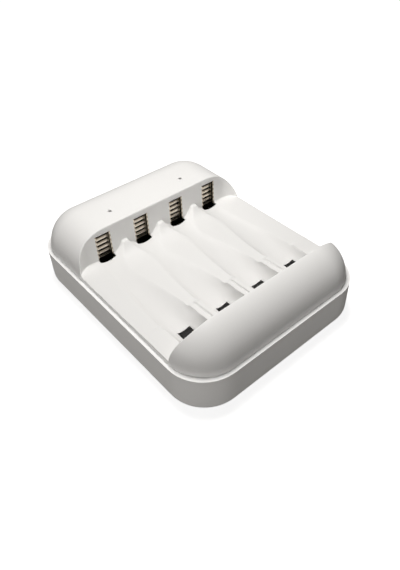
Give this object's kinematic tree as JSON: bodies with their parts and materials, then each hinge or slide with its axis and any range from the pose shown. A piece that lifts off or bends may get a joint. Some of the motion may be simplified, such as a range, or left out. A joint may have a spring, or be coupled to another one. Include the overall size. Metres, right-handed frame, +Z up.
{
  "type": "battery charger",
  "caption": "Compact white charger for round cells lying side by side in open-sided channels, with a raised pillow-shaped head, slotted contact plates and sprung end contacts.",
  "frame": {"origin": "middle of the case on the surface that the feet stand on", "axes": "+X to the right along the head wall, +Y from the front wall towards the head, +Z up"},
  "size_m": [0.072, 0.0916, 0.0275],
  "materials": {
    "white_plastic": "fine satin moulded plastic",
    "black_plastic": "matt moulded plastic",
    "board_laminate": "solder mask over laminate",
    "nickel": "nickel-plated strip",
    "dark_nickel": "darkened spring strip with bare edges",
    "steel": "zinc-plated",
    "ferrite": "sintered",
    "can_aluminium": "plain can",
    "lamp_resin": "translucent resin",
    "clear_plastic": "clear moulded rod",
    "rubber": "matt"
  },
  "bodies": {
    "housing": {"base_tub": "white_plastic", "top_cover": "white_plastic", "main_board": "board_laminate", "spring_carrier": "black_plastic", "inlet_shell": "steel", "inlet_tongue": "black_plastic", "controller_chip": "black_plastic", "inductor": "ferrite", "capacitors": "can_aluminium", "transistors": "black_plastic", "lamp_left": "lamp_resin", "lamp_right": "lamp_resin", "light_guide_left": "clear_plastic", "light_guide_right": "clear_plastic", "case_screws": "steel", "rubber_feet": "rubber", "contact_plate_1": "nickel", "contact_plate_2": "nickel", "contact_plate_3": "nickel", "contact_plate_4": "nickel"},
    "large_spring_1": {"large_spring_1": "nickel"},
    "large_spring_2": {"large_spring_2": "nickel"},
    "large_spring_3": {"large_spring_3": "nickel"},
    "large_spring_4": {"large_spring_4": "nickel"},
    "small_spring_1": {"small_spring_1": "dark_nickel"},
    "small_spring_2": {"small_spring_2": "dark_nickel"},
    "small_spring_3": {"small_spring_3": "dark_nickel"},
    "small_spring_4": {"small_spring_4": "dark_nickel"}
  },
  "joints": [
    {"name": "large_spring_1_flex", "type": "hinge", "parent": "housing", "child": "large_spring_1", "pos_m": [-0.0228, -0.03255, 0.00933], "axis": [1, 0, 0], "range_deg": [0, 12], "stiffness_Nm_per_rad": 0.12},
    {"name": "large_spring_2_flex", "type": "hinge", "parent": "housing", "child": "large_spring_2", "pos_m": [-0.0076, -0.03255, 0.00933], "axis": [1, 0, 0], "range_deg": [0, 12], "stiffness_Nm_per_rad": 0.12},
    {"name": "large_spring_3_flex", "type": "hinge", "parent": "housing", "child": "large_spring_3", "pos_m": [0.0076, -0.03255, 0.00933], "axis": [1, 0, 0], "range_deg": [0, 12], "stiffness_Nm_per_rad": 0.12},
    {"name": "large_spring_4_flex", "type": "hinge", "parent": "housing", "child": "large_spring_4", "pos_m": [0.0228, -0.03255, 0.00933], "axis": [1, 0, 0], "range_deg": [0, 12], "stiffness_Nm_per_rad": 0.12},
    {"name": "small_spring_1_flex", "type": "hinge", "parent": "housing", "child": "small_spring_1", "pos_m": [-0.0228, -0.02825, 0.00933], "axis": [1, 0, 0], "range_deg": [0, 10], "stiffness_Nm_per_rad": 0.08},
    {"name": "small_spring_2_flex", "type": "hinge", "parent": "housing", "child": "small_spring_2", "pos_m": [-0.0076, -0.02825, 0.00933], "axis": [1, 0, 0], "range_deg": [0, 10], "stiffness_Nm_per_rad": 0.08},
    {"name": "small_spring_3_flex", "type": "hinge", "parent": "housing", "child": "small_spring_3", "pos_m": [0.0076, -0.02825, 0.00933], "axis": [1, 0, 0], "range_deg": [0, 10], "stiffness_Nm_per_rad": 0.08},
    {"name": "small_spring_4_flex", "type": "hinge", "parent": "housing", "child": "small_spring_4", "pos_m": [0.0228, -0.02825, 0.00933], "axis": [1, 0, 0], "range_deg": [0, 10], "stiffness_Nm_per_rad": 0.08}
  ]
}
